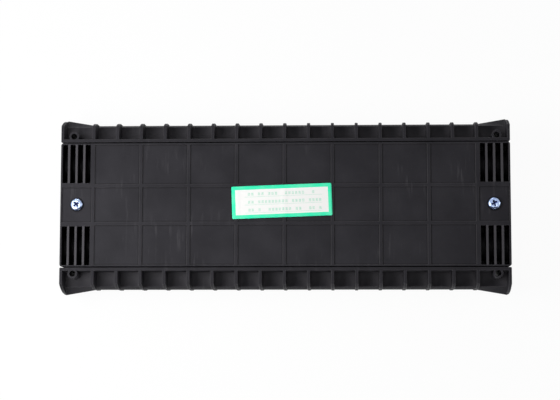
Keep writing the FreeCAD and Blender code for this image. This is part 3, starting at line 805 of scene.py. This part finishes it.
@dataclass
class Housing:
    """The two half shells and the two clamp rails that hold them."""

    shells: tuple[str, ...] = ("upper_shell", "lower_shell")
    rails: tuple[str, ...] = ("rear_rail", "front_rail")
    shell_edge: float = 0.22 * MILLIMETRE
    rail_edge: float = 0.28 * MILLIMETRE

    def dress(self, edge: Material) -> None:
        """Give shells and rails their plastic and ease their edges.

        Args:
            edge: Finish of the eased edges.
        """
        shell_finish = SHELL_PLASTIC.make()
        rail_finish = RAIL_PLASTIC.make()
        for name in self.shells:
            ease_edges(dress(name, shell_finish, edge), self.shell_edge, edge_slot=1)
        for name in self.rails:
            ease_edges(dress(name, rail_finish, edge), self.rail_edge, edge_slot=1)


@dataclass
class ClampScrew:
    """A pan-head screw with a cross recess and a threaded shank.

    The head's shares are of its radius, for what lies across it, and of its height, for what lies up it.
    """

    node: str
    recess_turn: float
    head_height: float = 3.2 * MILLIMETRE
    foot_radius_share: float = 0.95
    foot_height_share: float = 0.06
    wall_height_share: float = 0.28
    shoulder_start_share: float = 0.64
    shoulder_height_share: float = 0.64
    shoulder_degrees: tuple[int, ...] = (0, 18, 36, 54, 72)
    crown_radius_share: float = 0.6
    crown_height_share: float = 0.96
    crown_rise_share: float = 0.02
    recess_reach: float = 2.5 * MILLIMETRE
    recess_half: float = 0.62 * MILLIMETRE
    recess_depth: float = 2.0 * MILLIMETRE
    recess_taper: float = 0.5
    shank_radius: float = 2.5 * MILLIMETRE
    shank_root: float = 0.3 * MILLIMETRE
    tip_share: float = 0.8
    pitch: float = 0.8 * MILLIMETRE
    thread_depth: float = 0.35 * MILLIMETRE
    thread_half_share: float = 0.36
    head_steps: int = 64
    shank_steps: int = 32
    thread_steps: int = 20

    def build(self, finish: Material, recess: Material) -> Object:
        """Build the screw in place of its plain node.

        Args:
            finish: The plated finish.
            recess: The duller finish down in the cross, whose darker navy colour is painted shade.

        Returns:
            The screw.
        """
        low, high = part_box(self.node)
        middle = (low + high) / 2
        seat = high.z - self.head_height
        bench = bmesh.new()
        self._head(bench, (high.x - low.x) / 2)
        self._shank(bench, seat - low.z)
        bmesh.ops.recalc_face_normals(bench, faces=bench.faces)
        for face in bench.faces:
            face.smooth = True
        bmesh.ops.rotate(bench, verts=bench.verts, matrix=Matrix.Rotation(self.recess_turn, 3, "Z"))
        bmesh.ops.translate(bench, verts=bench.verts, vec=(middle.x, middle.y, seat))
        name = self.node.replace("clamp_screw", "cross_screw")
        piece = object_from(bench, name, finish, recess)
        ride_on_closure(piece)
        weigh_normals(piece)
        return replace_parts(piece, self.node)

    def _head(self, bench: bmesh.types.BMesh, radius: float) -> None:
        """Turn the domed head and sink the cross into its top.

        Args:
            bench: The mesh that takes the head.
            radius: Radius of the head.
        """
        turn_profile(bench, self._head_profile(radius), self.head_steps)
        height = self.head_height
        rims = [edge for edge in bench.edges if edge.is_boundary and edge.verts[0].co.z > height / 2]
        cross = self._cross(bench, height * self.crown_height_share + height * self.crown_rise_share)
        bmesh.ops.triangle_fill(bench, edges=rims + cross, use_beauty=True, normal=(0, 0, 1))
        floor = bmesh.ops.contextual_create(bench, geom=cross)["faces"]
        sunk = bmesh.ops.extrude_face_region(bench, geom=floor)["geom"]
        bmesh.ops.delete(bench, geom=[face for face in floor if face.is_valid], context="FACES_ONLY")
        moved = [item for item in sunk if isinstance(item, bmesh.types.BMVert)]
        # the recess walls take the second finish, whose dark colour is painted shade
        for face in {face for vert in moved for face in vert.link_faces}:
            face.material_index = 1
        bmesh.ops.scale(bench, verts=moved, vec=(self.recess_taper, self.recess_taper, 1))
        bmesh.ops.translate(bench, verts=moved, vec=(0, 0, -self.recess_depth))

    def _head_profile(self, radius: float) -> list[tuple[float, float]]:
        """Draw the head's half section, from the middle of its underside to the rim of its crown.

        Args:
            radius: Radius of the head.

        Returns:
            Points of radius and height.
        """
        height = self.head_height
        foot = [(0, 0), (radius * self.foot_radius_share, 0), (radius, height * self.foot_height_share)]
        shoulder = []
        for angle in map(math.radians, self.shoulder_degrees):
            across = self.shoulder_start_share + (1 - self.shoulder_start_share) * math.cos(angle)
            up = self.wall_height_share + self.shoulder_height_share * math.sin(angle)
            shoulder.append((radius * across, height * up))
        crown = (radius * self.crown_radius_share, height * self.crown_height_share)
        return [*foot, *shoulder, crown]

    def _cross(self, bench: bmesh.types.BMesh, level: float) -> list[bmesh.types.BMEdge]:
        """Draw the cross outline.

        Args:
            bench: The mesh that takes the outline.
            level: Its height.

        Returns:
            The edges of the outline.
        """
        half, reach = self.recess_half, self.recess_reach
        arm = [(reach, -half), (reach, half), (half, half)]
        quarters = [Matrix.Rotation(quarter * math.pi / 2, 2) for quarter in range(4)]
        corners = [quarter @ Vector(point) for quarter in quarters for point in arm]
        points = [bench.verts.new((corner.x, corner.y, level)) for corner in corners]
        return [bench.edges.new(pair) for pair in zip(points, points[1:] + points[:1])]

    def _shank(self, bench: bmesh.types.BMesh, length: float) -> None:
        """Turn the shank and wind a thread round it.

        Args:
            bench: The mesh that takes the shank.
            length: Length below the head.
        """
        core = self.shank_radius - self.thread_depth
        tip_radius = core * self.tip_share
        tip = [(0, -length), (tip_radius, -length), (core, -length + core - tip_radius)]
        root = [(core, self.shank_root), (0, self.shank_root)]
        turn_profile(bench, tip + root, self.shank_steps)

        turns = math.floor((length - self.shank_radius) / self.pitch)
        half = self.pitch * self.thread_half_share
        start = -length + half * 2
        inside = core - self.thread_depth / 2
        ridge = [(inside, 0, start - half), (self.shank_radius, 0, start), (inside, 0, start + half)]
        section = bench.faces.new([bench.verts.new(point) for point in ridge])
        bmesh.ops.spin(
            bench,
            geom=[section],
            cent=(0, 0, 0),
            axis=(0, 0, 1),
            angle=math.tau * turns,
            steps=turns * self.thread_steps,
            dvec=(0, 0, self.pitch / self.thread_steps),
        )


@dataclass
class InfoLabel:
    """The printed film on the grid of the upper shell."""

    node: str = "label"
    length: float = 80 * MILLIMETRE
    width: float = 26 * MILLIMETRE
    turn: float = math.radians(2.1)
    thickness: float = 0.16 * MILLIMETRE
    sag: float = 0.22 * MILLIMETRE
    band: float = 2.4 * MILLIMETRE
    column_pitch: float = 38.4 * MILLIMETRE
    row_line: float = 15.2 * MILLIMETRE
    columns: int = 80
    rows: int = 26
    corner: float = 0.8 * MILLIMETRE

    def film(self) -> PrintedFilm:
        """Give the print that fits the label.

        Returns:
            The printed finish.
        """
        return PrintedFilm(
            "label_film",
            field=tint(250, 250, 248),
            border=tint(52, 246, 188),
            dash=tint(196, 234, 216),
            half_length=self.length / 2,
            half_width=self.width / 2,
        )

    def build(self, finish: Material) -> Object:
        """Lay the film over the grid, with a slight sag in the cells.

        Args:
            finish: The printed finish.

        Returns:
            The label.
        """
        low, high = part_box(self.node)
        middle = (low + high) / 2
        bench = bmesh.new()
        bmesh.ops.create_grid(bench, x_segments=self.columns, y_segments=self.rows, size=0.5)
        bmesh.ops.scale(bench, verts=bench.verts, vec=(self.length, self.width, 1))
        self._round_corners(bench)
        chart = bench.loops.layers.uv.new("chart")
        for face in bench.faces:
            face.smooth = True
            for corner in face.loops:
                corner[chart].uv = corner.vert.co.xy
        bmesh.ops.rotate(bench, verts=bench.verts, matrix=Matrix.Rotation(self.turn, 3, "Z"))
        bmesh.ops.translate(bench, verts=bench.verts, vec=(middle.x, middle.y, low.z))
        for vert in bench.verts:
            vert.co.z -= self.sag * self._droop(vert.co.x, vert.co.y)
        bmesh.ops.recalc_face_normals(bench, faces=bench.faces)
        piece = object_from(bench, "info_label", finish)
        ride_on_closure(piece)
        wall = piece.modifiers.new("film", "SOLIDIFY")
        wall.thickness = self.thickness
        wall.offset = 1.0
        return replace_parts(piece, self.node)

    def _round_corners(self, bench: bmesh.types.BMesh) -> None:
        """Draw the four corner points in a little.

        Args:
            bench: The flat film about the origin.
        """
        for vert in bench.verts:
            past_x = abs(vert.co.x) - (self.length / 2 - self.corner)
            past_y = abs(vert.co.y) - (self.width / 2 - self.corner)
            if past_x > 0 and past_y > 0:
                shrink = self.corner / max(math.hypot(past_x, past_y), self.corner)
                vert.co.x -= math.copysign(past_x * (1 - shrink), vert.co.x)
                vert.co.y -= math.copysign(past_y * (1 - shrink), vert.co.y)

    def _droop(self, x: float, y: float) -> float:
        """Say how far the film sinks at a point.

        Args:
            x: Place along the closure.
            y: Place across the closure.

        Returns:
            0 over a band of the grid, 1 well inside a cell.
        """
        half_pitch = self.column_pitch / 2
        from_column = abs((x + half_pitch) % self.column_pitch - half_pitch)
        from_row = abs(abs(y) - self.row_line)
        inside = (min(from_column, from_row) - self.band / 2) / self.band
        share = min(max(inside, 0), 1)
        return share * share * (3 - 2 * share)


@dataclass
class SpliceKit:
    """Seals, fasteners and the trays inside the closure."""

    edge: float = 0.15 * MILLIMETRE

    def dress(self, zinc: Material) -> None:
        """Give each inner node its finish.

        Args:
            zinc: Finish of the plated fasteners.
        """
        corners = [f"{end}_{lane}" for end in ("left", "right") for lane in ("front", "rear")]
        brass = TURNED_BRASS.make()
        steel = ROLLED_STEEL.make()
        rubber = SEAL_RUBBER.make()
        tray = TRAY_PLASTIC.make()
        clear = CLEAR_SHEET.make()
        plan: list[tuple[Material, list[str]]] = [
            (rubber, ["rear_seal", "front_seal", "left_end_seal", "right_end_seal"]),
            (rubber, [f"{corner}_grommet" for corner in corners]),
            (zinc, ["clamp_nuts", "bracket_screws", "cable_clamp_screws", "anchor_screws", "tray_screws"]),
            (steel, ["mounting_bracket"] + [f"{corner}_cable_clamp" for corner in corners]),
            (brass, [f"{corner}_strength_anchor" for corner in corners]),
            (tray, ["lower_tray", "upper_tray", "lower_splice_holder", "upper_splice_holder"]),
            (clear, ["tray_cover"]),
        ]
        for material, nodes in plan:
            for node in nodes:
                ease_edges(dress(node, material), self.edge)


@dataclass(frozen=True)
class SoftBox:
    """A lamp with a wide face, turned to the middle of the scene."""

    name: str
    place: Point
    size: tuple[float, float]
    watts: float

    def hang(self) -> None:
        """Hang the lamp, unseen by the camera."""
        data = bpy.data.lights.new(self.name, "AREA")
        data.shape = "RECTANGLE"
        data.size, data.size_y = self.size
        data.energy = self.watts
        lamp = bpy.data.objects.new(self.name, data)
        lamp.location = self.place
        lamp.visible_camera = False
        lamp.rotation_euler = (-Vector(self.place)).to_track_quat("-Z", "Y").to_euler()
        bpy.context.scene.collection.objects.link(lamp)


LAMPS = (
    SoftBox("left_overhead", place=(-0.34, -0.07, 0.46), size=(0.34, 0.34), watts=2.5),
    SoftBox("overhead", place=(0.0, -0.05, 1.15), size=(0.4, 0.4), watts=1.5),
    SoftBox("left_soft", place=(-0.6, 0.3, 0.5), size=(0.25, 0.4), watts=0.9),
    SoftBox("front_soft", place=(0.3, -1.1, 0.16), size=(0.6, 0.2), watts=2.8),
    SoftBox("rear_soft", place=(-0.2, 1.1, 0.16), size=(0.6, 0.2), watts=3.2),
    SoftBox("right_soft", place=(1.0, 0.1, 0.16), size=(0.3, 0.2), watts=1.7),
)


@dataclass
class Studio:
    """Floor, board, lamps and camera."""

    camera_place: Point = (0.0475, -0.132, 1.319)
    camera_degrees: Point = (6.082, 2.293, 0.061)
    camera_range: float = 20.0
    focal_pixels: float = 1600.0
    image_pixels: int = 560
    sensor: float = 36.0
    floor_tint: Colour = tint(246, 246, 246)
    floor_reach: float = 4.0
    floor_drop: float = 0.2 * MILLIMETRE
    floor_glow: float = 0.95
    ambient: float = 0.1
    board_tint: Colour = tint(30, 34, 60)
    board_place: Point = (0.1, -0.24, 0.36)
    board_reach: tuple[float, float] = (0.36, 0.33)
    matt: float = 0.9

    def build(self) -> None:
        """Set the floor, the world, the board, the lamps and the camera."""
        self._floor()
        self._world()
        self._board()
        for lamp in LAMPS:
            lamp.hang()
        self._camera()

    def _floor(self) -> None:
        """Lay a wide pale floor that keeps a soft shadow."""
        bench = NodeBench("studio_floor")
        bench.shade(Base_Color=self.floor_tint, Roughness=self.matt, Specular_IOR_Level=0.0)
        glow = bench.add("ShaderNodeEmission")
        mixer = bench.add("ShaderNodeMixShader")
        bench.join(bench.product(bench.white_rays(), self.floor_glow), mixer.inputs["Fac"])
        bench.join(bench.shader.outputs["BSDF"], mixer.inputs[1])
        bench.join(glow.outputs["Emission"], mixer.inputs[2])
        bench.join(mixer.outputs["Shader"], bench.output.inputs["Surface"])
        sheet = bmesh.new()
        bmesh.ops.create_grid(sheet, x_segments=1, y_segments=1, size=self.floor_reach)
        bmesh.ops.translate(sheet, verts=sheet.verts, vec=(0, 0, -self.floor_drop))
        object_from(sheet, "floor", bench.material)

    def _board(self) -> None:
        """Stand a dark board in front, unseen itself, that the bright screws mirror."""
        bench = NodeBench("studio_board")
        bench.shade(Base_Color=self.board_tint, Roughness=self.matt, Specular_IOR_Level=0.0)
        sheet = bmesh.new()
        bmesh.ops.create_grid(sheet, x_segments=1, y_segments=1, size=1)
        bmesh.ops.scale(sheet, verts=sheet.verts, vec=(*self.board_reach, 1))
        bmesh.ops.rotate(sheet, verts=sheet.verts, matrix=Matrix.Rotation(math.pi / 2, 3, "X"))
        bmesh.ops.translate(sheet, verts=sheet.verts, vec=self.board_place)
        board = object_from(sheet, "board", bench.material)
        board.visible_camera = False
        board.visible_diffuse = False
        board.visible_transmission = False
        board.visible_shadow = False

    def _world(self) -> None:
        """Light the scene softly from all round, and show white behind it."""
        world = bpy.data.worlds.new("studio")
        world.use_nodes = True
        table = NodeTable(world.node_tree)
        background = world.node_tree.nodes["Background"]
        background.inputs["Color"].default_value = (1, 1, 1, 1)
        strength = table.span(table.white_rays(), 0, 1, self.ambient, 1)
        table.join(strength, background.inputs["Strength"])
        bpy.context.scene.world = world

    def _camera(self) -> None:
        """Stand the camera where the photograph was taken from."""
        data = bpy.data.cameras.new("camera")
        data.sensor_width = self.sensor
        data.lens = self.focal_pixels * self.sensor / self.image_pixels
        data.clip_end = self.camera_range
        camera = bpy.data.objects.new("camera", data)
        camera.location = self.camera_place
        camera.rotation_euler = [math.radians(angle) for angle in self.camera_degrees]
        bpy.context.scene.collection.objects.link(camera)
        bpy.context.scene.camera = camera


def main() -> None:
    """Build every sub-assembly in order."""
    logging.basicConfig(level=logging.INFO, format="%(name)s: %(message)s")
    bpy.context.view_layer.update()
    bpy.context.scene.view_settings.view_transform = "Standard"
    zinc = ZINC_PLATE.make()
    # the recess finish carries painted shade
    recess = SHADED_RECESS_ZINC.make()
    Housing().dress(WORN_EDGE.make())
    SpliceKit().dress(zinc)
    ClampScrew("left_clamp_screw", recess_turn=math.radians(38)).build(zinc, recess)
    ClampScrew("right_clamp_screw", recess_turn=math.radians(22)).build(zinc, recess)
    label = InfoLabel()
    label.build(label.film().make())
    Studio().build()


if __name__ == "__main__":
    main()
